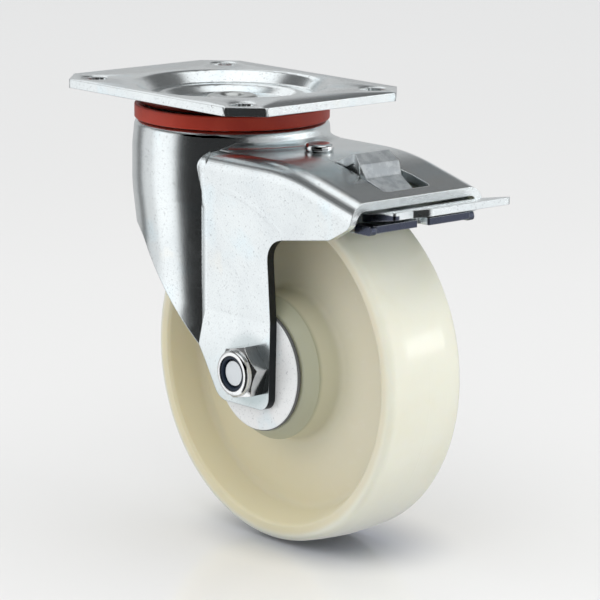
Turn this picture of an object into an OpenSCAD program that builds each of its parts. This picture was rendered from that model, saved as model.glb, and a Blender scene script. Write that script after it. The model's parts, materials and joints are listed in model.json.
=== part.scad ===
// Braked swivel castor: pressed plate, ball-bearing swivel, pressed fork, nylon wheel, total-lock brake.
// Frame: origin at the centre of the plate's top face on the swivel axis.
// +Z up, +X the trailing side (towards the pedal), -Y the side of the axle nut.

/* [Top plate] */
// length of the plate along X
plate_l = 105; // [100:1:115]
// width of the plate along Y
plate_w = 80; // [78:1:90]
// thickness of the plate's sheet
plate_t = 3; // [2.5:0.1:3.2]
// corner cut of the plate, measured along each edge
plate_cut = 10.4; // [6:0.2:12]
// distance between bolt holes along X
hole_dx = 80; // [77:0.5:84]
// distance between bolt holes along Y
hole_dy = 60; // [58:0.5:62]
// diameter of the bolt holes
hole_d = 9; // [8:0.5:11]
// width of the rounded rim round each bolt hole
hole_rim = 1.1; // [0.5:0.1:1.5]

/* [Swivel head] */
// radius of the dish's rim in the plate's top face
dish_r = 34; // [33.6:0.1:34.4]
// depth of the dish's first ledge
dish_step = 5; // [4.8:0.1:5.2]
// depth of the dish's floor
dish_floor = 8; // [7.8:0.1:8.2]
// radius of the kingpin's shank
kingpin_r = 6; // [5:0.5:7]
// radius of the kingpin's head
kingpin_head_r = 11; // [9:0.5:12]
// pitch radius of the upper balls
upper_pitch_r = 27.5; // [27.3:0.1:27.7]
// diameter of the upper balls
upper_ball_d = 6; // [5.8:0.1:6]
// number of balls in each swivel row
swivel_balls = 22; // [16:1:24]
// pitch radius of the lower balls
lower_pitch_r = 23; // [22.8:0.1:23.2]
// diameter of the lower balls
lower_ball_d = 5.5; // [5.2:0.1:5.6]
// outer radius of the red seal ring
seal_r = 34.5; // [34.2:0.1:35]
// height of the seal ring's outer face
seal_h = 4.4; // [4:0.1:4.8]

/* [Fork] */
// thickness of the fork's sheet
fork_t = 3; // [2.8:0.1:3.2]
// outer radius of the fork's round front
front_r = 35.2; // [35:0.1:36]
// outer half width of the legs at the axle
leg_y = 26; // [25.6:0.1:27]
// sideways lean of the cheeks above the legs, per unit of height
cheek_lean = 0.082; // [0.06:0.002:0.09]
// height at which the cheeks start to lean outwards
lean_z = -75; // [-78:1:-72]
// height of the fork's top face under the seal ring
head_z = -12.2; // [-12.4:0.1:-12]
// height of the roof beside the boss
roof_z = -18.2; // [-18.6:0.1:-18]
// rounding between roof and cheeks
roof_r = 6; // [5:0.5:7]
// place along X where the roof starts to bend down
bend_x = 51.5; // [51.5:0.5:53]
// radius of the roof's bend
bend_r = 90; // [80:5:95]
// slope of the roof's rear part
roof_slope = 14.8; // [14.2:0.2:15]
// rear end of the roof along X
roof_end_x = 95; // [94:0.5:96]
// half width of the raised strap at its widest place
strap_y = 9.1; // [8.6:0.1:9.3]
// radius of the hollow blend between the round front and each cheek
blend_r = 12; // [8:1:12]

/* [Wheel and axle] */
// diameter of the wheel over its tread
wheel_d = 125; // [122:0.5:126]
// width of the wheel's rim
wheel_w = 33; // [28:0.5:35]
// swivel offset: distance of the axle behind the swivel axis
axle_x = 40.3; // [39.5:0.1:41]
// height of the axle
axle_z = -92.8; // [-93.5:0.1:-92.5]
// diameter of the axle bolt
bolt_d = 10; // [8:0.5:10]
// width across flats of the bolt's head and nut
hex_af = 17; // [16:0.5:17]
// outer diameter of the hub and its dust covers
hub_d = 44.4; // [42:0.2:46]
// thickness of a dust cover
cover_t = 1.7; // [1.2:0.1:2]
// outer diameter of the ball bearings
bearing_od = 35; // [34:0.5:36]
// bore of the ball bearings
bearing_id = 15; // [14:0.5:16]
// width of a ball bearing
bearing_w = 11; // [10:0.5:12]
// diameter of the bearing's balls
bearing_ball_d = 5.8; // [5.4:0.1:6]

/* [Brake] */
// radius of the pedal's knuckle
knuckle_r = 2.6; // [2.4:0.1:2.7]
// thickness of the pedal's sheet
pedal_t = 2.5; // [2.2:0.1:2.6]
// thickness of the brake plate's sheet
shoe_t = 2.5; // [2.2:0.1:2.6]
// half width of the brake plate over its rear part
shoe_y = 22; // [20:0.5:22.5]
// thickness of the leaf spring
spring_t = 1; // [0.8:0.1:1.1]
// rear edge of the pedal's tread along X
pedal_end_x = 112.6; // [110:0.2:115]

/* [Hidden] */
// clearance of a running fit, on the radius
fit_gap = 0.08;
// free space between a ball and each of its races
ball_gap = 0.3;
// overshoot of cuts past a face
eps = 1;
// short overlap that joins two lengths of the same sheet
lap = 0.2;

// corner cuts stay clear of the bolt holes and the dish stays inside the plate
upper_ball_z = -dish_step - plate_t - upper_ball_d / 2;
lower_ball_z = head_z - 4.05 - ball_gap - lower_ball_d / 2;
groove_upper = upper_ball_d / 2 + ball_gap;
groove_lower = lower_ball_d / 2 + ball_gap;
// height of the fork's race plate underside
race_under_z = head_z - 4.6;
head_hole_r = lower_pitch_r - 4.5;
// lower cup
cup_t = 2.3;
cup_z = lower_ball_z - groove_lower + 0.75;
cup_r = lower_pitch_r + 4.5;
ring_r = cup_r + 3;
ring_z = cup_z - 0.2;
ring_h = 2.4;
// seal ring
seal_top_z = -plate_t - 3.9;
seal_low_z = seal_top_z - seal_h;
// head of the fork
boss_r = seal_r - 0.1;
// centre of the roof's bend
bend_z = roof_z - bend_r;
// half width of the cheeks at roof level
roof_y = leg_y + cheek_lean * (roof_z - lean_z);
// leg outline round the axle
leg_back = 10;
leg_low = 13;
// lengths along the axle
inner_y = leg_y - fork_t;
sleeve_y = inner_y - cover_t;
hub_y = sleeve_y - 0.5;
bolt_r = bolt_d / 2;
nut_h = 6;
collar_h = 2.3;
// strap: crest of its hump, and the slopes of its two sides there
strap_x = 72.2;
strap_top = -14.9;
// knuckle: lies in the hump's hollow, touching neither side
knuckle_out = fork_t + fit_gap + knuckle_r;
strap_rise = unit([8.2, 3.9]);
strap_fall = unit([3.9, -3.3]);
strap_in = [strap_rise[1] + strap_fall[1], -strap_rise[0] - strap_fall[0]] / (1 + strap_rise * strap_fall);
knuckle_x = strap_x + strap_in[0] * knuckle_out;
knuckle_z = strap_top + strap_in[1] * knuckle_out;
// brake plate's rocking axis: at the rivet, in the plate's middle
rivet_x = 46;
rivet_r = 3;
spring_z = roof_z - fork_t;
rock_z = spring_z - spring_t - 0.6 - shoe_t / 2;
$fn = 96;

// shared two-dimensional helpers

function unit(v) = v / norm(v);
function left_of(v) = [-v[1], v[0]];
function spin2(v, a) = [v[0] * cos(a) - v[1] * sin(a), v[0] * sin(a) + v[1] * cos(a)];
function reversed(p) = [for (i = [len(p) - 1 : -1 : 0]) p[i]];
function mirrored_x(p) = [for (i = [len(p) - 1 : -1 : 0]) [-p[i][0], p[i][1], p[i][2]]];

// one corner b between a and c as an arc of radius r, about one point per 7 degrees
function corner(a, b, c, r) =
    let (u = unit(a - b), v = unit(c - b), half = acos(u * v) / 2)
    let (m = b + unit(u + v) * r / sin(half), s = b + u * r / tan(half) - m)
    let (turn = (180 - 2 * half) * (cross(u, v) > 0 ? -1 : 1), n = ceil(abs(turn) / 7))
    [for (k = [0 : n]) m + spin2(s, turn * k / n)];

// open path of [x, y, corner radius] items, rounded
function rounded(p) = [
    for (i = [0 : len(p) - 1])
        each (i == 0 || i == len(p) - 1 || p[i][2] == 0
            ? [[p[i][0], p[i][1]]]
            : corner([p[i - 1][0], p[i - 1][1]], [p[i][0], p[i][1]], [p[i + 1][0], p[i + 1][1]], p[i][2]))
];

// closed outline of [x, y, corner radius] items, rounded
function rounded_loop(p) = [
    for (i = [0 : len(p) - 1])
        let (a = p[(i + len(p) - 1) % len(p)], b = p[i], c = p[(i + 1) % len(p)])
        each (b[2] == 0 ? [[b[0], b[1]]] : corner([a[0], a[1]], [b[0], b[1]], [c[0], c[1]], b[2]))
];

// path moved sideways by d, to its left
function shifted(p, d) = [
    for (i = [0 : len(p) - 1])
        let (e = len(p) - 1)
        let (s = left_of(unit(i == 0 ? p[1] - p[0] : p[i] - p[i - 1])))
        let (t = left_of(unit(i == e ? p[e] - p[e - 1] : p[i + 1] - p[i])))
        let (n = unit(s + t))
        p[i] + n * d / (n * s)
];

// sheet of thickness t lying to the right of a path
module sheet(path, t) {
    polygon(concat(path, reversed(shifted(path, -t))));
}

// corner radii on the far side of a sheet whose near side is the path p
function far_corners(p, t) =
    let (q = shifted([for (a = p) [a[0], a[1]]], -t), e = len(p) - 1)
    [
        for (i = [0 : e])
            let (turn = i == 0 || i == e ? 0 : cross([p[i][0] - p[i - 1][0], p[i][1] - p[i - 1][1]],
                [p[i + 1][0] - p[i][0], p[i + 1][1] - p[i][1]]))
            [q[i][0], q[i][1], p[i][2] == 0 ? 0 : turn > 0 ? p[i][2] + t : max(0, p[i][2] - t)]
    ];

// sheet of thickness t to the right of a path of [x, y, corner radius] items; its bends may be tighter than t
module bent(p, t) {
    polygon(concat(rounded(p), reversed(rounded(far_corners(p, t)))));
}

// side outline in X and Z, drawn through the part's width from y1 to y2
module through_y(y1, y2) {
    translate([0, y2, 0]) rotate([90, 0, 0]) linear_extrude(y2 - y1) children();
}

// outline in Y and Z, drawn along X from x1 to x2
module along_x(x1, x2) {
    translate([x1, 0, 0]) rotate([90, 0, 90]) linear_extrude(x2 - x1) children();
}

// turns a profile of [radius, axial place] about the axle, +axial towards -Y
module about_axle() {
    translate([axle_x, 0, axle_z]) rotate([90, 0, 0]) rotate_extrude() children();
}

// moves children to one side of the axle: side 1 is the nut side, -1 the far side
module at_side(side) {
    if (side > 0) children();
    else mirror([0, 1, 0]) children();
}

module zinc() {
    color([0.80, 0.82, 0.83]) children();
}

module bright() {
    color([0.88, 0.88, 0.87]) children();
}

// swivel head, fixed to the machine

// top line of the dish, from the rim inwards
dish_line = rounded([
    [dish_r + 4, 0, 0],
    [dish_r, 0, 3.5],
    [dish_r - 4, -dish_step, 1.5],
    [upper_pitch_r - 2, -dish_step, 3.6],
    [upper_pitch_r - 6, -dish_floor, 1.5],
    [kingpin_r, -dish_floor, 0]
]);

module dish_profile() {
    sheet(reversed(dish_line), plate_t);
}

module plate_outline() {
    x = plate_l / 2;
    y = plate_w / 2;
    c = plate_cut;
    polygon(rounded_loop([
        [x - c, -y, 1.5], [x, c - y, 1.5], [x, y - c, 1.5], [x - c, y, 1.5],
        [c - x, y, 1.5], [-x, y - c, 1.5], [-x, c - y, 1.5], [c - x, -y, 1.5]
    ]));
}

// bolt holes with their rounded rims
module bolt_holes() {
    for (x = [-1, 1], y = [-1, 1])
        translate([x * hole_dx / 2, y * hole_dy / 2, 0]) {
            translate([0, 0, -plate_t - eps]) cylinder(h = plate_t + 2 * eps, r = hole_d / 2);
            translate([0, 0, -0.5]) cylinder(h = 0.51, r1 = hole_d / 2, r2 = hole_d / 2 + hole_rim);
        }
}

module top_plate() {
    zinc() difference() {
        union() {
            difference() {
                translate([0, 0, -plate_t]) linear_extrude(plate_t) plate_outline();
                translate([0, 0, -plate_t - eps]) cylinder(h = plate_t + 2 * eps, r = dish_r + 2);
            }
            rotate_extrude() dish_profile();
        }
        bolt_holes();
        // race groove for the upper balls
        rotate_extrude() translate([upper_pitch_r, upper_ball_z]) circle(r = groove_upper, $fn = 32);
    }
}

module kingpin() {
    low = -dish_floor - plate_t - cup_t;
    bright() rotate_extrude() polygon(concat(
        [[0, -dish_floor + 1.6], [3.4, -dish_floor + 1.6], [4.6, -dish_floor + 3]],
        rounded([[4.6, -dish_floor + 3, 0], [kingpin_head_r - 1, -dish_floor + 3, 2],
            [kingpin_head_r, -dish_floor, 0]]),
        [[kingpin_r, -dish_floor], [kingpin_r, low]],
        rounded([[kingpin_r, low, 0], [9, low, 0], [8.4, low - 3, 1.5], [0, low - 3, 0]])
    ));
}

// hat-shaped cup: its crown is clamped under the plate's dish
module lower_race_cup() {
    crown = -dish_floor - plate_t;
    line = rounded([
        [kingpin_r, crown, 0],
        [kingpin_r + 7, crown, 3],
        [lower_pitch_r - 6.2, cup_z, 1.5],
        [cup_r, cup_z, 0]
    ]);
    zinc() difference() {
        rotate_extrude() sheet(line, cup_t);
        rotate_extrude() translate([lower_pitch_r, lower_ball_z]) circle(r = groove_lower, $fn = 32);
    }
}

// slotted ring pressed round the rim of the cup
module swivel_lock_ring() {
    zinc() difference() {
        translate([0, 0, ring_z - ring_h]) cylinder(h = ring_h, r = ring_r);
        translate([0, 0, ring_z - ring_h - eps]) cylinder(h = ring_h + 2 * eps, r = cup_r);
        for (i = [0 : 23])
            rotate(i * 15) translate([cup_r + 1, -1.3, ring_z - ring_h - eps])
                cube([ring_r, 2.6, ring_h + 2 * eps]);
    }
}

module seal_ring() {
    color([0.72, 0.16, 0.09]) rotate_extrude() difference() {
        polygon(rounded_loop([
            [seal_r, seal_low_z, 0.5], [seal_r, seal_top_z, 0.4], [seal_r - 4, seal_top_z, 0],
            [seal_r - 4, seal_low_z + 1.2, 0], [seal_r - 2.2, seal_low_z, 0.4]
        ]));
        dish_profile();
    }
}

module ball_row(pitch, z, d, count) {
    color([0.78, 0.79, 0.80]) for (i = [0 : count - 1])
        rotate(i * 360 / count) translate([pitch, 0, z]) sphere(d = d);
}

module upper_balls() {
    ball_row(upper_pitch_r, upper_ball_z, upper_ball_d, swivel_balls);
}

module lower_balls() {
    ball_row(lower_pitch_r, lower_ball_z, lower_ball_d, swivel_balls);
}

// fork: one pressed sheet

// cross section of roof and cheeks; t is how far it lies inside the outer face
module cheek_section(t, low) {
    y0 = leg_y - t;
    y1 = roof_y - t;
    rr = roof_r - t;
    half = [[-y0, low, 0], [-y0, lean_z, 0], [-y1, roof_z - t, rr]];
    polygon(rounded_loop(concat(half, mirrored_x(half))));
}

// roof and cheeks: straight front part, bent middle and sloping rear part
module cheek_body(t, x2) {
    along_x(0, bend_x + lap) cheek_section(t, axle_z - leg_low - 20);
    translate([bend_x, 0, bend_z]) {
        rotate([90, 0, 0]) rotate([0, 0, 90 - roof_slope]) rotate_extrude(angle = roof_slope)
            rotate(-90) translate([0, -bend_z]) cheek_section(t, -66);
        rotate([0, roof_slope, 0]) along_x(0, x2) translate([0, -bend_z]) cheek_section(t, -66);
    }
}

// outer face of the round front and the boss
module front_body() {
    low = axle_z + 3;
    rotate_extrude() polygon(concat([[0, low], [0, head_z]], rounded([
        [boss_r - 8, head_z, 0],
        [boss_r, head_z, 2.5],
        [front_r, head_z - 9, 15],
        [front_r, head_z - 23, 40],
        [front_r - 6.2, low, 0]
    ])));
}

// inner face of the same
module front_hollow() {
    low = axle_z + 2;
    rotate_extrude() polygon(concat([[0, low], [0, head_z - fork_t]], rounded([
        [boss_r - 8, head_z - fork_t, 0],
        [boss_r - fork_t, head_z - fork_t, 1.5],
        [front_r - fork_t, head_z - 9, 15],
        [front_r - fork_t, head_z - 23, 40],
        [front_r - 6.2 - fork_t, low, 0]
    ])));
}

// side outline that trims the shell: front edge, leg, rear edge and roof end
module side_outline() {
    back = axle_x + leg_back;
    low = axle_z - leg_low;
    polygon(rounded_loop([
        [-60, 10, 0],
        [-60, -49, 0],
        [-13.5, -49, 12],
        [axle_x - 24, axle_z, 30],
        [axle_x - 16, low, 7],
        [back, low, 5],
        [back + 1, -46, 8.5],
        [back + 9, -44.2, 0],
        [back + 33.5, -40.4, 9],
        [roof_end_x + 0.4, -34.2, 6],
        [roof_end_x, 10, 0]
    ]));
}

// opening of the roof beside and behind the strap
module roof_opening() {
    w = strap_y + 0.6;
    half = [[90.3, w + 1, 2], [81, w + 1, 4], [76, w, 4], [63.5, w - 0.6, 0.4]];
    translate([0, 0, -60]) linear_extrude(60)
        polygon(rounded_loop(concat(half, [for (q = reversed(half)) [q[0], -q[1], q[2]]])));
}

// top line of the strap, from the roof over the hump and down under the roof
strap_line = [
    [57.5, roof_z - 0.25, 0],
    [64, strap_top - (strap_x - 64) * strap_rise[1] / strap_rise[0], 5],
    [strap_x, strap_top, 1.6],
    [strap_x + 3.9, strap_top - 3.3, 1.2],
    [78.6, -23.1, 1.6],
    [88.9, -27.6, 0]
];

module strap() {
    half = [[50, 8.5, 0], [67, 8.4, 6], [strap_x, strap_y - 1.5, 4], [strap_x + 3.9, strap_y, 1.5],
        [78.6, strap_y - 1.1, 3], [89, 5.6, 1.2]];
    intersection() {
        through_y(-10, 10) bent(strap_line, fork_t);
        // the strap is drawn narrower over its crest and towards its free end
        translate([0, 0, -60]) linear_extrude(60)
            polygon(rounded_loop(concat(half, [for (q = reversed(half)) [q[0], -q[1], q[2]]])));
    }
}

// half width of the cheeks' outer faces at a height
function cheek_y(z) = leg_y + cheek_lean * (z - lean_z);

// one length of the hollow blend, with its axis at x1 at height z1 and at x2 at height z2
module crease_length(z1, x1, z2, x2) {
    dz = z2 - z1;
    dy = -cheek_lean * dz;
    far = norm([x2 - x1, dy, dz]);
    // the blend bites into both faces a little and so ends in a definite line
    bite = 0.15;
    reach = cheek_y((z1 + z2) / 2) + blend_r;
    translate([x1, bite - cheek_y(z1) - blend_r, z1]) rotate([-asin(dy / far), atan2(x2 - x1, dz), 0])
        linear_extrude(far) difference() {
            polygon([[0, 0], [-(x1 + x2) / 2, reach], [0, reach]]);
            circle(r = blend_r);
        }
}

// hollow blends where the cheeks leave the round front; they run out under the roof's edge
module crease_blends() {
    intersection() {
        union() for (s = [0, 1]) mirror([0, s, 0]) {
            crease_length(-90, 18.2, -40, 22.7);
            crease_length(-40, 22.7, head_z - 3, 20.8);
        }
        along_x(0, bend_x) cheek_section(-0.5, axle_z);
    }
}

// concave blend between the boss and the roof
module boss_blend() {
    r = 4;
    edge = roof_y - roof_r + 1;
    intersection() {
        rotate_extrude() difference() {
            translate([boss_r - 1, roof_z - 1]) square([r + 1, r + 0.6]);
            translate([boss_r + r, roof_z + r]) circle(r = r);
        }
        // its height runs out towards the roof's rounded sides
        along_x(0, bend_x) polygon([
            [-edge, roof_z - 1], [edge, roof_z - 1], [edge, roof_z],
            [edge - 9, roof_z + r + 1], [9 - edge, roof_z + r + 1], [-edge, roof_z]
        ]);
    }
}

module fork() {
    zinc() {
        difference() {
            union() {
                intersection() {
                    difference() {
                        union() {
                            front_body();
                            cheek_body(0, 40);
                            crease_blends();
                        }
                        front_hollow();
                        cheek_body(fork_t, 41);
                    }
                    through_y(-45, 45) side_outline();
                }
                // race plate inside the head
                rotate_extrude() polygon([
                    [head_hole_r, head_z - 1], [boss_r - 4, head_z - 1],
                    [boss_r - 4, head_z - fork_t], [lower_pitch_r + 6, race_under_z], [head_hole_r, race_under_z]
                ]);
                boss_blend();
            }
            translate([0, 0, -40]) cylinder(h = 40, r = head_hole_r);
            rotate_extrude() translate([upper_pitch_r, upper_ball_z]) circle(r = groove_upper, $fn = 32);
            rotate_extrude() translate([lower_pitch_r, lower_ball_z]) circle(r = groove_lower, $fn = 32);
            roof_opening();
            // axle holes
            translate([axle_x, 0, axle_z]) rotate([90, 0, 0]) cylinder(h = 80, r = bolt_r + 0.1, center = true);
            // rivet hole
            translate([rivet_x, 0, -30]) cylinder(h = 20, r = rivet_r);
        }
        strap();
    }
}

// axle

module hexagon(af) {
    circle(r = af / sqrt(3), $fn = 6);
}

module axle_bolt() {
    head_h = 6.4;
    washer = 2;
    tip = -leg_y - nut_h - collar_h + 1.1;
    bright() translate([axle_x, 0, axle_z]) rotate([90, 0, 0]) {
        difference() {
            translate([0, 0, -leg_y - washer - head_h]) linear_extrude(head_h) hexagon(hex_af);
            // chamfered outer end of the head
            translate([0, 0, -leg_y - washer - head_h - eps]) difference() {
                cylinder(h = eps + 1.2, r = hex_af);
                translate([0, 0, eps]) cylinder(h = 1.3, r1 = hex_af / 2 - 0.2, r2 = hex_af / 2 + 1.9);
            }
        }
        translate([0, 0, -leg_y - washer - eps]) cylinder(h = leg_y + washer + eps - tip - 0.8, r = bolt_r);
        translate([0, 0, -tip - 0.8]) cylinder(h = 0.8, r1 = bolt_r, r2 = bolt_r - 0.75);
    }
}

module bolt_washer() {
    zinc() translate([axle_x, leg_y, axle_z]) rotate([-90, 0, 0]) difference() {
        cylinder(h = 2, r = 10);
        translate([0, 0, -eps]) cylinder(h = 2 + 2 * eps, r = bolt_r + 0.2);
    }
}

module axle_nut() {
    collar_r = hex_af / 2 - 0.5;
    bright() translate([axle_x, -leg_y, axle_z]) rotate([90, 0, 0]) difference() {
        union() {
            intersection() {
                rotate(12) linear_extrude(nut_h) hexagon(hex_af);
                union() {
                    translate([0, 0, -eps]) cylinder(h = nut_h - 1.1 + eps, r = hex_af);
                    translate([0, 0, nut_h - 2.2]) cylinder(h = 2.2, r1 = hex_af / 2 + 3.4, r2 = hex_af / 2 - 0.4);
                }
            }
            rotate_extrude() polygon(concat([[0, 1], [0, nut_h + collar_h]], rounded([
                [bolt_r + 0.6, nut_h + collar_h, 0], [collar_r, nut_h + collar_h, 1.1], [collar_r, 1, 0]
            ])));
        }
        translate([0, 0, -eps]) cylinder(h = 20, r = bolt_r);
        translate([0, 0, nut_h - 1.2]) cylinder(h = 20, r = bolt_r + 1.2);
    }
}

// ring of nylon that grips the thread
module nut_insert() {
    color([0.10, 0.18, 0.24]) translate([axle_x, -leg_y, axle_z]) rotate([90, 0, 0]) rotate_extrude()
        polygon(rounded_loop([
            [bolt_r, nut_h - 1.2, 0], [bolt_r + 1.2, nut_h - 1.2, 0],
            [bolt_r + 1.2, nut_h + collar_h - 0.35, 0.3], [bolt_r, nut_h + collar_h - 0.6, 0.4]
        ]));
}

module axle_sleeve() {
    zinc() about_axle() translate([bolt_r + fit_gap, -sleeve_y])
        square([bearing_id / 2 - bolt_r - fit_gap, 2 * sleeve_y]);
}

module dust_cover() {
    r = hub_d / 2;
    zinc() about_axle() polygon(rounded_loop([
        [bolt_r + 0.2, sleeve_y, 0], [r - 0.3, sleeve_y, 0.3], [r, sleeve_y + cover_t - 0.5, 0.3],
        [r - 0.7, inner_y, 0.3], [bolt_r + 0.2, inner_y, 0]
    ]));
}

// ball bearings in the hub

bearing_in = hub_y - bearing_w - 0.3;
ball_pitch = (bearing_od + bearing_id) / 4;
ball_y = bearing_in + bearing_w / 2;

module inner_ring() {
    r = bearing_id / 2;
    bright() about_axle() difference() {
        translate([r, bearing_in]) square([2.6, bearing_w]);
        translate([ball_pitch, ball_y]) circle(r = bearing_ball_d / 2 + ball_gap, $fn = 32);
    }
}

module outer_ring() {
    r = bearing_od / 2;
    bright() about_axle() difference() {
        translate([r - 2.6, bearing_in]) square([2.6, bearing_w]);
        translate([ball_pitch, ball_y]) circle(r = bearing_ball_d / 2 + ball_gap, $fn = 32);
        translate([r - 3, bearing_in + bearing_w - 0.6]) square([1.4, 1]);
    }
}

module bearing_shield() {
    r = bearing_od / 2;
    zinc() about_axle() translate([bearing_id / 2 + 3, bearing_in + bearing_w - 0.6])
        square([r - 1.6 - bearing_id / 2 - 3, 0.5]);
}

module bearing_balls() {
    color([0.78, 0.79, 0.80]) translate([axle_x, -ball_y, axle_z]) for (i = [0 : 7])
        rotate([0, i * 45, 0]) translate([ball_pitch, 0, 0]) sphere(d = bearing_ball_d);
}

// wheel: one nylon moulding

// half of the wheel's section as [radius, place along the axle], from the bore outwards
function wheel_half() =
    let (r = wheel_d / 2, w = wheel_w / 2, lip = r - 7.2)
    [
        [bearing_od / 2, bearing_in, 0], [bearing_od / 2, hub_y, 0.3],
        [hub_d / 2 - 0.2, hub_y, 0.8], [hub_d / 2 + 0.4, 4.2, 4], [r - 11, 4, 3.5],
        [lip, w - 0.9, 0.6], [lip + 0.9, w, 0.4], [r - 1.2, w, 3.2], [r - 0.4, w - 8, 30]
    ];

module wheel() {
    half = wheel_half();
    color([0.91, 0.90, 0.82]) difference() {
        about_axle() polygon(concat(
            rounded(concat([[bearing_id / 2 + 3.4, 0, 0], [bearing_id / 2 + 3.4, bearing_in, 0]], half,
                [[wheel_d / 2, 0, 0]])),
            reversed([for (p = rounded(concat([[bearing_id / 2 + 3.4, 0, 0], [bearing_id / 2 + 3.4, bearing_in, 0]],
                half, [[wheel_d / 2, 0, 0]]))) if (p[1] > 0) [p[0], -p[1]]])
        ));
    }
}

// brake

module brake_rivet() {
    h = 2.7;
    low = rock_z - shoe_t / 2 - 0.6;
    bright() translate([rivet_x, 0, 0]) rotate_extrude() polygon(concat(
        [[0, roof_z + h]],
        rounded([[0, roof_z + h, 0], [5.2, roof_z + h, 1.35], [5.2, roof_z + 0.5, 0.6], [4.6, roof_z, 0]]),
        [[rivet_r, roof_z], [rivet_r, low], [4.8, low]],
        rounded([[4.8, low, 0], [4.4, low - 2, 1], [0, low - 2, 0]])
    ));
}

// strip riveted under the roof; its rear end holds the knuckle up
module leaf_spring() {
    z = spring_z;
    low = knuckle_z - knuckle_r - fit_gap;
    zinc() difference() {
        through_y(-6, 6) sheet(rounded([
            [rivet_x - 5, z, 0], [bend_x, z, 20], [58.5, z - 0.75, 8], [66, low, 6], [knuckle_x - 0.5, low, 0]
        ]), spring_t);
        translate([rivet_x, 0, -40]) cylinder(h = 40, r = rivet_r);
    }
}

// top line of the pedal: knuckle, neck under the strap, tread rising to the rear
pedal_neck_x = 87.9;
pedal_neck_z = -32;
tread_slope = 0.17;
tread_end_z = pedal_neck_z + tread_slope * (pedal_end_x - pedal_neck_x);

module pedal_outline() {
    polygon(rounded_loop([
        [60, -7, 0], [86, -7, 3], [90.5, -21.8, 3], [pedal_end_x - 5.2, -22.2, 1.2],
        [pedal_end_x - 5.2, -13.8, 0.8], [pedal_end_x - 3, -12.6, 1.2], [pedal_end_x - 0.4, -10.4, 2.5],
        [pedal_end_x, 27.4, 2.4], [98, 26.6, 3], [90.5, 22, 4], [86, 7, 3], [60, 7, 0]
    ]));
}

module brake_pedal() {
    zinc() {
        intersection() {
            through_y(-40, 40) bent([
                [knuckle_x + 1.3, knuckle_z + 0.2, 0],
                [76.4, -26.4, 3],
                [pedal_neck_x, pedal_neck_z, 3],
                [pedal_end_x + 4, tread_end_z + 4 * tread_slope, 0]
            ], pedal_t);
            translate([0, 0, -80]) linear_extrude(80) pedal_outline();
        }
        translate([knuckle_x, 0, knuckle_z]) rotate([90, 0, 0]) cylinder(h = 14, r = knuckle_r, center = true);
    }
}

// top line of the brake plate
shoe_low_z = pedal_neck_z - pedal_t + 0.05;

module shoe_outline() {
    w = shoe_y;
    polygon(rounded_loop([
        [27.5, -5, 1], [56, -5, 4], [64, -w, 4], [98, -w, 1],
        [98, -2.6, 0.5], [93, -2.6, 1.5], [93, 2.6, 1.5], [98, 2.6, 0.5],
        [98, w, 1], [64, w, 4], [56, 5, 4], [27.5, 5, 1]
    ]));
}

module brake_plate() {
    top = rock_z + shoe_t / 2;
    front = ring_z - ring_h - 1.8;
    zinc() {
        difference() {
            union() {
                intersection() {
                    through_y(-40, 40) sheet(rounded([
                        [25, front, 0], [33.5, front, 3], [38.5, top, 3.2], [54, top, 5],
                        [76, shoe_low_z, 8], [99, shoe_low_z, 0]
                    ]), shoe_t);
                    translate([0, 0, -60]) linear_extrude(60) shoe_outline();
                }
                // turned-down side lips
                for (s = [-1, 1])
                    through_y(s * (shoe_y + 0.6) - 1.2, s * (shoe_y + 0.6) + 1.2) polygon(rounded_loop([
                        [78, shoe_low_z, 0], [97.6, shoe_low_z, 1.2], [98.4, shoe_low_z - 3.2, 1.3],
                        [86, shoe_low_z - 3.2, 4], [78, shoe_low_z - 2.4, 1]
                    ]));
                // brake rib over the tread
                translate([78, 0, shoe_low_z - 1.15]) rotate([90, 0, 0]) cylinder(h = 28, r = 3, center = true);
            }
            // the rib only stands out below the sheet
            translate([70, -15, shoe_low_z]) cube([12, 30, 6]);
            translate([rivet_x, 0, -40]) cylinder(h = 40, r = rivet_r + 0.6);
        }
    }
}

module dust_cover_near() { dust_cover(); }
module dust_cover_far() { at_side(-1) dust_cover(); }
module inner_ring_near() { inner_ring(); }
module inner_ring_far() { at_side(-1) inner_ring(); }
module outer_ring_near() { outer_ring(); }
module outer_ring_far() { at_side(-1) outer_ring(); }
module bearing_shield_near() { bearing_shield(); }
module bearing_shield_far() { at_side(-1) bearing_shield(); }
module bearing_balls_near() { bearing_balls(); }
module bearing_balls_far() { at_side(-1) bearing_balls(); }

top_plate();
kingpin();
lower_race_cup();
swivel_lock_ring();
seal_ring();
upper_balls();
lower_balls();
fork();
brake_rivet();
leaf_spring();
axle_bolt();
bolt_washer();
axle_nut();
nut_insert();
axle_sleeve();
dust_cover_near();
dust_cover_far();
inner_ring_near();
inner_ring_far();
bearing_balls_near();
bearing_balls_far();
wheel();
outer_ring_near();
outer_ring_far();
bearing_shield_near();
bearing_shield_far();
brake_pedal();
brake_plate();
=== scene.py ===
"""Braked swivel castor, dressed for its studio picture.

The frame gives the solids; this script gives them their finishes, reshapes a few of them,
and sets up the floor, the light and the camera.
Lengths are in metres, in the same frame as the solids, or in millimetres where that is said.
"""

from __future__ import annotations

import json
import logging
import math
from dataclasses import dataclass
from enum import Enum
from typing import Callable, Iterable, Sequence, Union

import bmesh
import bpy
from mathutils import Matrix, Vector

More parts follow.
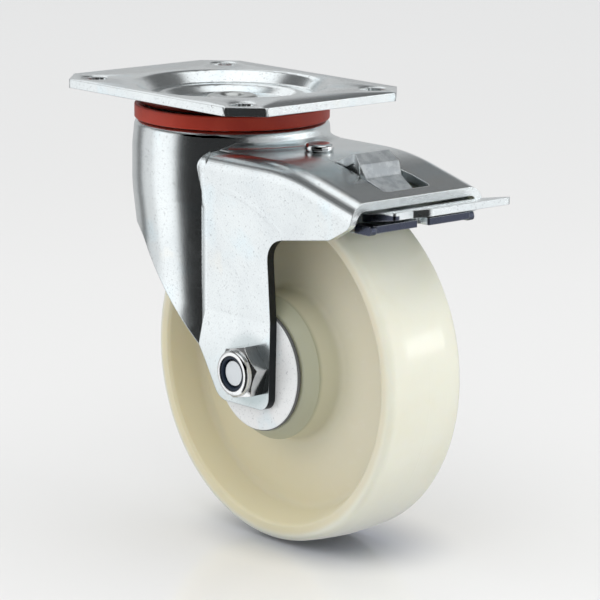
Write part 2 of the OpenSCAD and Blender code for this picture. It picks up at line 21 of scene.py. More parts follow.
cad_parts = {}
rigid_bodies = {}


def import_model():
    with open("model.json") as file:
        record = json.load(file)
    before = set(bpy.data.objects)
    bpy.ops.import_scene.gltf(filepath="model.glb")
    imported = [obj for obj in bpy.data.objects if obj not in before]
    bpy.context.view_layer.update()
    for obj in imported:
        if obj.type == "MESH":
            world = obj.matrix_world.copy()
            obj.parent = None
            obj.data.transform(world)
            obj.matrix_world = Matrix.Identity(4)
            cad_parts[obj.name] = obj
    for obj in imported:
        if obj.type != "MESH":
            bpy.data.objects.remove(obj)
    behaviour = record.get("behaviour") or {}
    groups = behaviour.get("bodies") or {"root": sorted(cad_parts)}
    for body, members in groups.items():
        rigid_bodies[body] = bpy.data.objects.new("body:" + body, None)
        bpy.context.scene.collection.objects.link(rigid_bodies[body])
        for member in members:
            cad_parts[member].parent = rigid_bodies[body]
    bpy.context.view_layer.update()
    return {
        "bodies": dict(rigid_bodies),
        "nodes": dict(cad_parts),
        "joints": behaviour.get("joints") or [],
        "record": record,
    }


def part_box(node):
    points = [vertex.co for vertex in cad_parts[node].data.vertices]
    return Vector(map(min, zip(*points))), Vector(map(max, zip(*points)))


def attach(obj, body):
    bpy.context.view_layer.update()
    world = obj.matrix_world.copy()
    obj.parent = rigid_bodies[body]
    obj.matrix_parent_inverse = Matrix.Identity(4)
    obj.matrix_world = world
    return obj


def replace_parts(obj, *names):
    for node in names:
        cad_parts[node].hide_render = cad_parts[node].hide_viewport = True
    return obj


LOG = logging.getLogger("castor")
MM = 0.001
MM_PER_M = 1000.0
AXLE_X, AXLE_Z = 40.3, -92.8  # the wheel's axle, in millimetres
WELD_M = 1e-7  # points closer than this become one
FLAT_M = 1e-5  # points less than this below a face are on it
ON_RING_M = 2e-5  # points closer to a ring than this are on it
RING_FACES = 144  # round the axle
ROUNDING_FACES = 5  # across a rounded edge
MIX_FACTOR, MIX_LOW, MIX_HIGH, MIX_RESULT = 0, 6, 7, 2  # a colour Mix node's sockets
SENSOR_MM = 36.0
Colour = tuple[float, float, float, float]
Number = Union[int, float]


def rgb(red: float, green: float, blue: float) -> Colour:
    """A colour from linear parts, opaque."""
    return (red, green, blue, 1.0)


# Shader maths.


class Value:
    """One number socket of a shader graph, used in Python expressions."""

    def __init__(self, graph: "Graph", socket: bpy.types.NodeSocket) -> None:
        """Wraps a socket of that graph."""
        self.graph = graph
        self.socket = socket

    def _math(self, operation: str, *terms: Union["Value", Number]) -> "Value":
        """Adds a Math node.

        Args:
            operation: the Math node's operation.
            terms: its inputs in order.

        Returns:
            The node's result.
        """
        return self.graph.value("ShaderNodeMath", {"operation": operation}, dict(enumerate(terms)))

    def __add__(self, other: Union["Value", Number]) -> "Value":
        """self + other."""
        return self._math("ADD", self, other)

    def __radd__(self, other: Number) -> "Value":
        """other + self."""
        return self._math("ADD", other, self)

    def __sub__(self, other: Union["Value", Number]) -> "Value":
        """self - other."""
        return self._math("SUBTRACT", self, other)

    def __rsub__(self, other: Number) -> "Value":
        """other - self."""
        return self._math("SUBTRACT", other, self)

    def __mul__(self, other: Union["Value", Number]) -> "Value":
        """self * other."""
        return self._math("MULTIPLY", self, other)

    def __rmul__(self, other: Number) -> "Value":
        """other * self."""
        return self._math("MULTIPLY", other, self)

    def __truediv__(self, other: Union["Value", Number]) -> "Value":
        """self / other."""
        return self._math("DIVIDE", self, other)

    def __pow__(self, other: Number) -> "Value":
        """self to a power."""
        return self._math("POWER", self, other)

    def __abs__(self) -> "Value":
        """The size of self without its sign."""
        return self._math("ABSOLUTE", self)

    def root(self) -> "Value":
        """The square root of self."""
        return self._math("SQRT", self)

    def sine(self) -> "Value":
        """The sine of self, in radians."""
        return self._math("SINE", self)

    def above(self, low: Number, high: Number) -> "Value":
        """A soft step from 0 at low to 1 at high; low may be the larger.

        Args:
            low: where the result is 0.
            high: where the result is 1.

        Returns:
            The step, kept from 0 to 1.
        """
        settings = {"clamp": True, "interpolation_type": "SMOOTHSTEP"}
        if low > high:
            return 1 - self.above(high, low)
        return self.graph.value(
            "ShaderNodeMapRange", settings, {"Value": self, "From Min": low, "From Max": high}
        )

    def between(self, low: Number, high: Number, soft: Number) -> "Value":
        """1 from low to high, fading to 0 over the soft width on both sides."""
        return self.above(low - soft, low) * self.above(high + soft, high)

    def kept(self) -> "Value":
        """self, kept from 0 to 1."""
        settings = {"operation": "ADD", "use_clamp": True}
        return self.graph.value("ShaderNodeMath", settings, {0: self, 1: 0.0})


class Graph:
    """A material's or a world's node tree, built from Python."""

    def __init__(self, tree: bpy.types.NodeTree) -> None:
        """Starts with an empty tree.

        Args:
            tree: the material's or the world's node tree.
        """
        self.tree = tree
        tree.nodes.clear()
        self._place: Value | None = None
        self._parts: dict[str, Value] = {}

    def add(
        self,
        kind: str,
        settings: dict[str, object] | None = None,
        inputs: dict[Union[str, int], object] | None = None,
    ) -> bpy.types.Node:
        """Adds one node.

        Args:
            kind: the node's type, such as ShaderNodeTexNoise.
            settings: its properties, set before the sockets.
            inputs: values or links for its sockets, by name or number.

        Returns:
            The node.
        """
        node = self.tree.nodes.new(kind)
        for name, setting in (settings or {}).items():
            setattr(node, name, setting)
        for name, item in (inputs or {}).items():
            self.feed(node.inputs[name], item)
        return node

    def feed(self, socket: bpy.types.NodeSocket, item: object) -> None:
        """Gives a socket a value or a link.

        Args:
            socket: an input of a node.
            item: a value, a Value or a node's output.
        """
        if isinstance(item, Value):
            self.tree.links.new(item.socket, socket)
        elif isinstance(item, bpy.types.NodeSocket):
            self.tree.links.new(item, socket)
        else:
            socket.default_value = item

    def value(
        self,
        kind: str,
        settings: dict[str, object] | None = None,
        inputs: dict[Union[str, int], object] | None = None,
        output: Union[str, int] = 0,
    ) -> Value:
        """Adds one node and returns one of its outputs, wrapped."""
        return Value(self, self.add(kind, settings, inputs).outputs[output])

    def place(self) -> Value:
        """The Object coordinates, in metres.

        Returns:
            The coordinates, read once for the whole graph.
        """
        if self._place is None:
            self._place = self.value("ShaderNodeTexCoord", output="Object")
        return self._place

    def axis(self, name: str) -> Value:
        """One of the Object coordinates, in millimetres.

        Args:
            name: "X", "Y" or "Z".

        Returns:
            The coordinate.
        """
        if not self._parts:
            parts = self.split(self.place())
            self._parts = {n: part * MM_PER_M for n, part in parts.items()}
        return self._parts[name]

    def split(self, vector: Value) -> dict[str, Value]:
        """The X, Y and Z parts of a vector."""
        node = self.add("ShaderNodeSeparateXYZ", None, {0: vector})
        return {n: Value(self, node.outputs[n]) for n in "XYZ"}

    def facing(self) -> Value:
        """The surface's normal."""
        return self.value("ShaderNodeNewGeometry", output="Normal")

    def from_line(self, x: float, z: float) -> Value:
        """Distance from a line along Y, in millimetres.

        Args:
            x: the line's X, in millimetres.
            z: the line's Z, in millimetres.

        Returns:
            The distance.
        """
        return ((self.axis("X") - x) ** 2 + (self.axis("Z") - z) ** 2).root()

    def from_axle(self) -> Value:
        """Distance from the wheel's axle, in millimetres."""
        return self.from_line(AXLE_X, AXLE_Z)

    def from_pivot(self) -> Value:
        """Distance from the swivel axis, in millimetres."""
        return (self.axis("X") ** 2 + self.axis("Y") ** 2).root()

    def mapped(self, scale: Sequence[float], turn: Sequence[float] = (0, 0, 0)) -> Value:
        """Object coordinates stretched and turned.

        Args:
            scale: factor along each axis.
            turn: angles about each axis in degrees.

        Returns:
            The new coordinates.
        """
        return self.value(
            "ShaderNodeMapping",
            None,
            {
                "Vector": self.place(),
                "Scale": tuple(scale),
                "Rotation": tuple(math.radians(a) for a in turn),
            },
        )

    def noise(
        self,
        size_mm: float,
        detail: float,
        rough: float = 0.5,
        warp: float = 0.0,
        vector: Value | None = None,
        seed: float = 0.0,
    ) -> Value:
        """Cloudy noise from 0 to 1, mean a half.

        Args:
            size_mm: size of the largest blobs.
            detail: octaves.
            rough: strength of the fine octaves.
            warp: distortion.
            vector: coordinates, or None for the Object coordinates.
            seed: picks another pattern.

        Returns:
            The noise.
        """
        return self.value(
            "ShaderNodeTexNoise",
            {"noise_dimensions": "4D"},
            {
                "Vector": vector or self.place(),
                "W": seed,
                "Scale": MM_PER_M / size_mm,
                "Detail": detail,
                "Roughness": rough,
                "Distortion": warp,
            },
        )

    def cells(self, size_mm: float, seed: float) -> Value:
        """Distance to the nearest of scattered points, in cell sizes."""
        return self.value(
            "ShaderNodeTexVoronoi",
            {"voronoi_dimensions": "4D", "feature": "F1"},
            {"Vector": self.place(), "W": seed, "Scale": MM_PER_M / size_mm},
            "Distance",
        )

    def mix(self, mask: Union[Value, Number], low: object, high: object) -> Value:
        """Colour low where mask is 0, high where it is 1.

        Args:
            mask: the mask.
            low: a colour.
            high: a colour.

        Returns:
            The mixed colour.
        """
        node = self.add("ShaderNodeMix", {"data_type": "RGBA"})
        self.feed(node.inputs[MIX_FACTOR], mask)
        self.feed(node.inputs[MIX_LOW], low)
        self.feed(node.inputs[MIX_HIGH], high)
        return Value(self, node.outputs[MIX_RESULT])

    def soft_edges(self, radius_mm: float) -> Value:
        """A normal that is rounded over edges by that radius."""
        return self.value("ShaderNodeBevel", {"samples": 6}, {"Radius": radius_mm * MM}, "Normal")

    def edge_mask(self, rounded: Value, strength: float) -> Value:
        """1 on edges and 0 on flats, from a rounded normal.

        Args:
            rounded: the normal from soft_edges.
            strength: how quickly the mask rises.

        Returns:
            The mask.
        """
        normals = {0: rounded, 1: self.facing()}
        same = self.value("ShaderNodeVectorMath", {"operation": "DOT_PRODUCT"}, normals, "Value")
        return ((1 - same) * strength).kept()

    def bump(self, height: Value, depth_mm: float, strength: float, under: Value) -> Value:
        """A Bump node.

        Args:
            height: the pattern from 0 to 1.
            depth_mm: its height in millimetres.
            strength: 0 to 1.
            under: the normal that it is added to.

        Returns:
            The new normal.
        """
        return self.value(
            "ShaderNodeBump",
            None,
            {
                "Height": height,
                "Distance": depth_mm * MM,
                "Strength": strength,
                "Normal": under,
            },
            "Normal",
        )

    def surface(self, inputs: dict[str, object]) -> None:
        """Ends the graph with a Principled shader that has these sockets.

        Args:
            inputs: values or links for its sockets, by name.
        """
        shader = self.add("ShaderNodeBsdfPrincipled", None, dict(inputs))
        out = self.add("ShaderNodeOutputMaterial")
        self.tree.links.new(shader.outputs[0], out.inputs[0])


# Finishes.


@dataclass(frozen=True)
class Finish:
    """What every finish has: a name and a graph."""

    name: str

    def paint(self, graph: Graph) -> None:
        """Builds the finish in that graph."""
        raise NotImplementedError

    def material(self) -> bpy.types.Material:
        """The finish as a material, made once.

        Returns:
            The material.
        """
        name = f"dressed_{self.name}"
        found = bpy.data.materials.get(name)
        if found is not None:
            return found
        made = bpy.data.materials.new(name)
        made.use_nodes = True
        self.paint(Graph(made.node_tree))
        return made


class Dressing(Enum):
    """Where a zinc finish adds marks of its own."""

    PLAIN = "plain"
    FORK = "fork"
    PLATE = "plate"
    BRAKE = "brake"
    COVER = "cover"


@dataclass
class Coat:
    """The zinc as it is built up: each step changes some of it."""

    colour: Value
    rough: Value
    height: Value
    edges: Value
    spots: Value


@dataclass(frozen=True)
class ZincPlate(Finish):
    """Bright zinc plating on pressed steel."""

    tint: Colour = rgb(0.80, 0.84, 0.845)
    haze: Colour = rgb(0.58, 0.62, 0.65)
    dark: Colour = rgb(0.16, 0.17, 0.19)
    blue_sheen: Colour = rgb(0.73, 0.85, 0.90)
    warm_sheen: Colour = rgb(0.86, 0.83, 0.76)
    worn_edge: Colour = rgb(0.86, 0.88, 0.88)
    rough: float = 0.17
    wave_mm: float = 0.10
    speckle: float = 0.20
    edge_mm: float = 0.45
    metal: float = 1.0
    dressing: Dressing = Dressing.PLAIN

    def paint(self, graph: Graph) -> None:
        """Builds the finish.

        Args:
            graph: the material's graph, which is empty.
        """
        g = graph
        rounded = g.soft_edges(self.edge_mm)
        coat = self._plating(g, rounded)
        marks = {
            Dressing.FORK: self._mark_fork,
            Dressing.PLATE: self._mark_plate,
            Dressing.BRAKE: self._mark_brake,
            Dressing.COVER: self._mark_cover,
        }
        if self.dressing in marks:
            marks[self.dressing](g, coat)
        normal = g.bump(coat.height, self.wave_mm, 0.55, rounded)
        g.surface(
            {
                "Base Color": g.mix(coat.edges * 0.35, coat.colour, self.worn_edge),
                "Metallic": self.metal,
                "Roughness": coat.rough.kept(),
                "Normal": g.bump(self._shear(g), 0.12, 0.35, normal),
            }
        )

    def _plating(self, g: Graph, rounded: Value) -> Coat:
        """Clouds, spots, speckle, pits and scratches, which all plated pieces have.

        Args:
            g: the graph.
            rounded: the normal from soft_edges.

        Returns:
            The plating.
        """
        clouds = g.noise(22, 4, 0.55, 0.6, seed=1.3)
        spots = g.noise(3.2, 5, 0.62, seed=4.1)
        speckle = g.noise(0.75, 4, 0.72, seed=7.7)
        scratch = g.noise(1.0, 4, 0.6, vector=g.mapped((60, 900, 70), (12, 0, 24)), seed=2.0)
        lines = scratch.above(0.64, 0.72) * clouds.above(0.42, 0.62)
        pits = g.cells(2.1, seed=3.0).above(0.16, 0.08) * g.noise(9, 2, seed=9.0).above(0.52, 0.64)
        blue = g.noise(16, 3, seed=6.0).above(0.5, 0.72)
        warm = g.noise(12, 3, seed=16.0).above(0.60, 0.75)
        edges = g.edge_mask(rounded, 9.0)
        colour = g.mix(clouds.above(0.35, 0.75) * 0.30, self.tint, self.haze)
        colour = g.mix(spots.above(0.60, 0.74) * 0.25, colour, self.haze)
        colour = g.mix(blue * 0.55, colour, self.blue_sheen)
        colour = g.mix(warm * 0.35, colour, self.warm_sheen)
        colour = g.mix(speckle.above(0.55, 0.70) * 0.42, colour, self.dark)
        colour = g.mix(pits * 0.75, colour, self.dark)
        rough = self.rough + clouds * 0.06 + spots * 0.05 + lines * 0.12 + edges * 0.10
        height = clouds * 0.6 + speckle * self.speckle - pits * 0.12 - lines * 0.02
        return Coat(colour, rough, height, edges, spots)

    def _mark_fork(self, g: Graph, coat: Coat) -> None:
        """Rubbed strap, cut edges painted near-black as shade, and painted greenish shade on the
        legs round the axle.

        Args:
            g: the graph.
            coat: the plating, which it changes.
        """
        strap, cut = self._strap(g), self._cut(g)
        rubbed = g.mix(coat.spots.above(0.40, 0.62), rgb(0.54, 0.58, 0.61), rgb(0.78, 0.82, 0.84))
        pressed = strap * g.noise(0.8, 3, 0.7, seed=5.0) * 0.22 + self._arc(g) * 0.5
        # Painted shade: the lower legs and the leg round the nut are darkened greenish grey, for
        # shadow and the nut's reflection.
        low = g.axis("Z").above(-78, -112) * abs(g.axis("Y")).above(20, 24)
        seat = g.from_axle().above(15, 10)
        painted_leg_shade = (low * 0.40 + seat * 0.40) * (1 - cut)
        coat.colour = g.mix(strap * 0.75, coat.colour, rubbed)
        # Painted shade: the cut edges are painted near-black.
        coat.colour = g.mix(cut * 0.97, coat.colour, rgb(0.012, 0.013, 0.016))
        coat.colour = g.mix(painted_leg_shade, coat.colour, rgb(0.33, 0.40, 0.41))
        coat.rough = coat.rough + strap * 0.20 + cut * 0.15
        coat.height = coat.height + pressed
        coat.edges = coat.edges * (1 - cut)

    def _mark_plate(self, g: Graph, coat: Coat) -> None:
        """A smoother dish with dark drawing marks round its step.

        Args:
            g: the graph.
            coat: the plating, which it changes.
        """
        radius = g.from_pivot()
        dish = radius.above(36, 33)
        sweep = g.noise(1.2, 4, 0.65, seed=8.2).above(0.56, 0.66) * radius.between(24, 34, 4)
        coat.colour = g.mix(sweep * 0.15, coat.colour, self.dark)
        coat.rough = coat.rough - dish * 0.03 + sweep * 0.06
        coat.height = coat.height * (1 - dish * 0.45)

    def _mark_brake(self, g: Graph, coat: Coat) -> None:
        """Dark blue on the brake plate's rear and on its flank.

        Args:
            g: the graph.
            coat: the plating, which it changes.
        """
        x, y, z = g.axis("X"), g.axis("Y"), g.axis("Z")
        rear = x.above(96.6, 97.6) * z.above(-33.6, -34.2)
        along = x.above(89.5, 90.5) * x.above(108.5, 107.5)
        flank = along * y.above(-19.6, -20.4) * z.above(-29.6, -30.0)
        coat.colour = g.mix((rear + flank).kept() * 0.95, coat.colour, rgb(0.025, 0.030, 0.060))
        coat.rough = coat.rough + 0.05

    def _mark_cover(self, g: Graph, coat: Coat) -> None:
        """The gap's shade along the cover's turned-down rim."""
        rim = g.from_axle().between(21.30, 22.2, 0.10) * (g.axis("X") - AXLE_X).above(-6, 4)
        coat.colour = g.mix(rim * 0.92, coat.colour, rgb(0.02, 0.02, 0.025))

    def _shear(self, g: Graph) -> Value:
        """Upright streaks on cut edges, which face sideways.

        Args:
            g: the graph.

        Returns:
            The streaks' height.
        """
        side = abs(g.split(g.facing())["X"]).above(0.80, 0.95)
        streak = g.noise(1.0, 3, 0.6, vector=g.mapped((120, 1100, 160)), seed=11.0)
        return side * streak

    def _cut(self, g: Graph) -> Value:
        """1 on the legs' cut rear edges, which are painted near-black as shade."""
        level = abs(g.split(g.facing())["Y"]).above(0.55, 0.25)
        return level * g.axis("Z").above(-40, -46) * abs(g.axis("Y")).above(17, 18)

    def _strap(self, g: Graph) -> Value:
        """1 on the raised strap of the fork's roof."""
        hump = g.axis("X").between(63.5, 88, 1.0) * abs(g.axis("Y")).above(9.2, 8.0)
        return hump * g.axis("Z").above(-30, -29)

    def _arc(self, g: Graph) -> Value:
        """A faint pressed line that follows the roof's edge down the cheek."""
        line = g.from_line(22, -92).between(61.5, 62.3, 0.9)
        return line * g.axis("X").above(26, 36) * g.axis("Z").above(-44, -38)


@dataclass(frozen=True)
class TurnedSteel(Finish):
    """Bright plated fasteners with fine turning marks about the axle."""

    tint: Colour = rgb(0.80, 0.81, 0.81)
    rough: float = 0.12
    centre_x: float = AXLE_X
    centre_z: float = AXLE_Z

    def paint(self, graph: Graph) -> None:
        """Builds the finish.

        Args:
            graph: the material's graph, which is empty.
        """
        g = graph
        radius = g.from_line(self.centre_x, self.centre_z)
        rings = (radius * 14.0 + g.noise(6, 2) * 3.0).sine() * 0.5 + 0.5
        blot = g.noise(5, 4, 0.6, seed=2.2)
        rounded = g.soft_edges(0.35)
        edges = g.edge_mask(rounded, 7.0)
        colour = g.mix(blot.above(0.45, 0.75) * 0.5, self.tint, rgb(0.55, 0.57, 0.60))
        # Painted highlight: the edges are painted lighter.
        colour = g.mix(edges * 0.7, colour, rgb(0.93, 0.93, 0.93))
        rough = self.rough + blot * 0.10 + edges * 0.05
        normal = g.bump(rings * 0.25 + blot * 0.5, 0.02, 0.5, rounded)
        g.surface(
            {
                "Base Color": colour,
                "Metallic": 1.0,
                "Roughness": rough.kept(),
                "Normal": normal,
            }
        )


@dataclass(frozen=True)
class SealRubber(Finish):
    """Red-orange moulded seal."""

    tint: Colour = rgb(0.37, 0.024, 0.008)
    pale: Colour = rgb(0.49, 0.048, 0.018)

    def paint(self, graph: Graph) -> None:
        """Builds the finish.

        Args:
            graph: the material's graph, which is empty.
        """
        g = graph
        clouds = g.noise(14, 4, 0.6, seed=1.0)
        dust = g.noise(1.1, 4, 0.7, seed=3.0)
        rounded = g.soft_edges(0.5)
        colour = g.mix(clouds.above(0.35, 0.7) * 0.6, self.tint, self.pale)
        colour = g.mix(dust.above(0.62, 0.74) * 0.25, colour, rgb(0.60, 0.20, 0.13))
        rough = 0.34 + clouds * 0.12 + dust * 0.08
        normal = g.bump(dust * 0.4 + clouds, 0.03, 0.5, rounded)
        g.surface(
            {
                "Base Color": colour,
                "Roughness": rough.kept(),
                "Normal": normal,
                "Specular IOR Level": 0.36,
            }
        )


@dataclass(frozen=True)
class CreamNylon(Finish):
    """Moulded wheel: glossy greenish-white tread, duller beige sides."""

    tread: Colour = rgb(0.80, 0.80, 0.685)
    sides: Colour = rgb(0.74, 0.70, 0.55)
    # The worn tone for the clouds, also used as painted shade on the lower-left side.
    worn_and_shade: Colour = rgb(0.73, 0.665, 0.445)
    # Painted shade: the next two colours are the hub's greenish tone darkened, and the web's
    # darkening next to the hub.
    hub_tone_and_shade: Colour = rgb(0.40, 0.41, 0.30)
    shade_near_hub: Colour = rgb(0.56, 0.56, 0.43)
    fleck: Colour = rgb(0.88, 0.87, 0.78)

    def paint(self, graph: Graph) -> None:
        """Builds the finish.

        Args:
            graph: the material's graph, which is empty.
        """
        g = graph
        off_centre = abs(g.axis("Y"))
        radius = g.from_axle()
        on_tread = radius.above(57.5, 60.0)
        clouds = g.noise(30, 4, 0.6, 0.4, seed=1.4)
        mottle = g.noise(4.5, 4, 0.6, seed=5.0)
        rub = g.noise(1.0, 3, 0.6, vector=g.mapped((90, 1400, 90)), seed=3.3)
        flow = (radius * 1.9 + clouds * 5.0).sine() * 0.5 + 0.5
        rounded = g.soft_edges(0.5)
        colour = g.mix(on_tread, self.sides, self.tread)
        colour = g.mix(clouds.above(0.45, 0.75) * 0.22, colour, self.worn_and_shade)
        colour = g.mix(mottle.above(0.55, 0.72) * 0.10, colour, self.fleck)
        # Painted shade: the sides get darker and yellower towards the lower left, away from the
        # light.
        lean = (g.axis("X") - AXLE_X) * 0.7 + (g.axis("Z") - AXLE_Z)
        low = lean.above(4, -52) * (1 - on_tread)
        colour = g.mix(low * 0.75, colour, self.worn_and_shade)
        # Painted shade: the hub is painted a darker greenish grey, and the web darkens towards the
        # hub.
        raised = off_centre.above(14.5, 16.2) * 0.45 + off_centre.above(4.0, 9.0) * 0.45
        on_hub = radius.above(27.6, 26.0) * raised
        colour = g.mix(on_hub, colour, self.hub_tone_and_shade)
        colour = g.mix(radius.above(38, 27) * (1 - on_hub) * 0.30, colour, self.shade_near_hub)
        rough = 0.40 - on_tread * 0.18 + clouds * 0.08 + rub * on_tread * 0.10
        line = off_centre.above(0.35, 0.05) * on_tread
        height = clouds * 0.5 + mottle * 0.12 + flow * 0.03 + line * 0.6 + rub * on_tread * 0.10
        normal = g.bump(height, 0.06, 0.5, rounded)
        g.surface(
            {
                "Base Color": colour,
                "Roughness": rough.kept(),
                "Normal": normal,
                "Subsurface Weight": 0.30,
                "Subsurface Radius": (0.008, 0.0065, 0.004),
                "Subsurface Scale": 1.0,
                "Coat Weight": on_tread * 0.6,
                "Coat Roughness": 0.10,
                "IOR": 1.5,
            }
        )


@dataclass(frozen=True)
class BlueNylon(Finish):
    """Dark blue locking ring of the nut."""

    tint: Colour = rgb(0.008, 0.018, 0.036)

    def paint(self, graph: Graph) -> None:
        """Builds the finish.

        Args:
            graph: the material's graph, which is empty.
        """
        g = graph
        scuff = g.noise(0.9, 3, 0.6, seed=2.0)
        colour = g.mix(scuff.above(0.5, 0.75) * 0.5, self.tint, rgb(0.030, 0.055, 0.085))
        normal = g.bump(scuff, 0.05, 0.5, g.soft_edges(0.25))
        g.surface(
            {
                "Base Color": colour,
                "Roughness": (0.32 + scuff * 0.2).kept(),
                "Normal": normal,
                "Specular IOR Level": 0.3,
            }
        )


@dataclass(frozen=True)
class StudioFloor(Finish):
    """Pale glossy sheet that the castor stands on, shaded under the wheel."""

    tint: Colour = rgb(0.855, 0.85, 0.84)
    clouded: Colour = rgb(0.875, 0.87, 0.86)
    distant: Colour = rgb(0.95, 0.95, 0.945)
    shade: Colour = rgb(0.16, 0.19, 0.28)
    shade_place: tuple[float, float] = (47.0, 3.0)
    shade_reach: tuple[float, float] = (40.0, 30.0)

    def paint(self, graph: Graph) -> None:
        """Builds the finish.

        Args:
            graph: the material's graph, which is empty.
        """
        g = graph
        soft = g.noise(900, 2, 0.5)
        along = (g.axis("X") - self.shade_place[0]) / self.shade_reach[0]
        across = (g.axis("Y") - self.shade_place[1]) / self.shade_reach[1]
        under = (along**2 + across**2).root().above(1.5, 0.30)
        colour = g.mix(soft, self.tint, self.clouded)
        colour = g.mix(g.from_pivot().above(400, 2600), colour, self.distant)
        colour = g.mix(under * 0.72, colour, self.shade)
        g.surface({"Base Color": colour, "Roughness": 0.10 + soft * 0.04})


# Mesh tools.


def clear_selection() -> None:
    """Nothing is selected and object mode is on."""
    if bpy.context.object is not None and bpy.context.object.mode != "OBJECT":
        bpy.ops.object.mode_set(mode="OBJECT")
    bpy.ops.object.select_all(action="DESELECT")


def settle(name: str, finish: Finish, body: str, angle: float) -> bpy.types.Object:
    """Finishes the active object as a piece of the castor.

    Args:
        name: the piece's name.
        finish: its finish.
        body: the body that it rides on.
        angle: edges sharper than this stay sharp, in degrees.

    Returns:
        The piece, at the origin with its place in its mesh.
    """
    piece = bpy.context.object
    clear_selection()
    piece.select_set(True)
    bpy.context.view_layer.objects.active = piece
    bpy.ops.object.transform_apply(location=True, rotation=True, scale=True)
    bpy.ops.object.mode_set(mode="EDIT")
    bpy.ops.mesh.select_all(action="SELECT")
    bpy.ops.mesh.remove_doubles(threshold=WELD_M)
    bpy.ops.mesh.normals_make_consistent(inside=False)
    bpy.ops.object.mode_set(mode="OBJECT")
    bpy.ops.object.shade_smooth_by_angle(angle=math.radians(angle))
    piece.name = name
    piece.data.name = name
    piece.data.materials.clear()
    piece.data.materials.append(finish.material())
    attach(piece, body)
    LOG.info("%s: %d faces", name, len(piece.data.polygons))
    return piece


def turned(loop: Sequence[tuple[float, float, float]], axle: tuple[float, float]) -> None:
    """Makes a ring-shaped body about an axle along Y, as on a lathe.

    Args:
        loop: the closed section as (radius, place along Y, rounding), in millimetres.
        axle: the axle's X and Z in metres.
    """
    clear_selection()
    axle_x, axle_z = axle
    radius, along, _ = loop[0]
    bpy.ops.mesh.primitive_circle_add(
        vertices=RING_FACES,
        radius=radius * MM,
        location=(axle_x, along * MM, axle_z),
        rotation=(math.pi / 2, 0, 0),
    )
    bpy.ops.object.transform_apply(location=True, rotation=True, scale=True)
    bpy.ops.object.mode_set(mode="EDIT")
    bpy.ops.mesh.select_all(action="SELECT")
    for wide, at, _ in [*loop[1:], loop[0]]:
        step = {"value": (0, (at - along) * MM, 0)}
        bpy.ops.mesh.extrude_edges_move(TRANSFORM_OT_translate=step)
        grow = wide / radius
        centre = (axle_x, at * MM, axle_z)
        bpy.ops.transform.resize(value=(grow, 1, grow), center_override=centre)
        radius, along = wide, at
    bpy.ops.mesh.select_all(action="SELECT")
    bpy.ops.mesh.remove_doubles(threshold=WELD_M)
    for index, (wide, at, rounding) in enumerate(loop):
        if rounding > 0:
            corner = (loop[index - 1], (wide, at), loop[(index + 1) % len(loop)])
            bevel_ring((wide, at), corner_run(corner, rounding), axle)


def corner_run(corner: Sequence[Sequence[float]], rounding: float) -> float:
    """How far from its corner a rounding of that radius starts.

    Args:
        corner: the points before, at and after the corner.
        rounding: the radius.

    Returns:
        The length along both sides.
    """
    (ax, ay), (bx, by), (cx, cy) = (point[:2] for point in corner)
    turn = math.atan2(cy - by, cx - bx) - math.atan2(by - ay, bx - ax)
    return rounding * abs(math.tan((turn + math.pi) % (2 * math.pi) / 2 - math.pi / 2))


def bevel_ring(place: tuple[float, float], run: float, axle: tuple[float, float]) -> None:
    """Rounds the ring edge at that radius and place along the axle.

    Args:
        place: radius and place along Y, in millimetres.
        run: how far the rounding reaches on both sides, in millimetres.
        axle: the axle's X and Z in metres.
    """
    bpy.ops.mesh.select_all(action="DESELECT")
    bpy.context.tool_settings.mesh_select_mode = (False, True, False)
    mesh = bmesh.from_edit_mesh(bpy.context.object.data)
    for edge in mesh.edges:
        edge.select = all(
            abs(math.hypot(v.co.x - axle[0], v.co.z - axle[1]) - place[0] * MM) < ON_RING_M
            and abs(v.co.y - place[1] * MM) < ON_RING_M
            for v in edge.verts
        )
    bmesh.update_edit_mesh(bpy.context.object.data)
    bpy.ops.mesh.bevel(
        offset=run * MM, segments=ROUNDING_FACES, affect="EDGES", clamp_overlap=True
    )


# The castor.

SMALL_ZINC = ZincPlate("zinc_small", rough=0.18, wave_mm=0.05)


@dataclass
class Assembly:
    """A group of the castor's pieces."""

    frame: dict

    def dress(self, finish: Finish, nodes: Iterable[str]) -> None:
        """Gives solids their finish.

        Args:
            finish: the finish.
            nodes: names of the solids.
        """
        for name in nodes:
            solid = self.frame["nodes"][name]
            solid.data.materials.clear()
            solid.data.materials.append(finish.material())
            LOG.info("%s: %s", name, finish.name)

    def reshape(
        self,
        node: str,
        name: str,
        finish: Finish,
        body: str,
        slot: str,
        move: Callable[[Vector], Vector],
    ) -> None:
        """Replaces a solid by a copy of its shape with some of it moved.

        Args:
            node: the solid.
            name: the new piece's name.
            finish: its finish.
            body: the body that it rides on.
            slot: the record's material slot; not used.
            move: gives a point's new place.
        """
        clear_selection()
        piece = bpy.data.objects.new(name, self.frame["nodes"][node].data.copy())
        bpy.context.scene.collection.objects.link(piece)
        bpy.context.view_layer.objects.active = piece
        piece.select_set(True)
        for vertex in piece.data.vertices:
            vertex.co = move(vertex.co)
        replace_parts(settle(name, finish, body, angle=30.0), node)


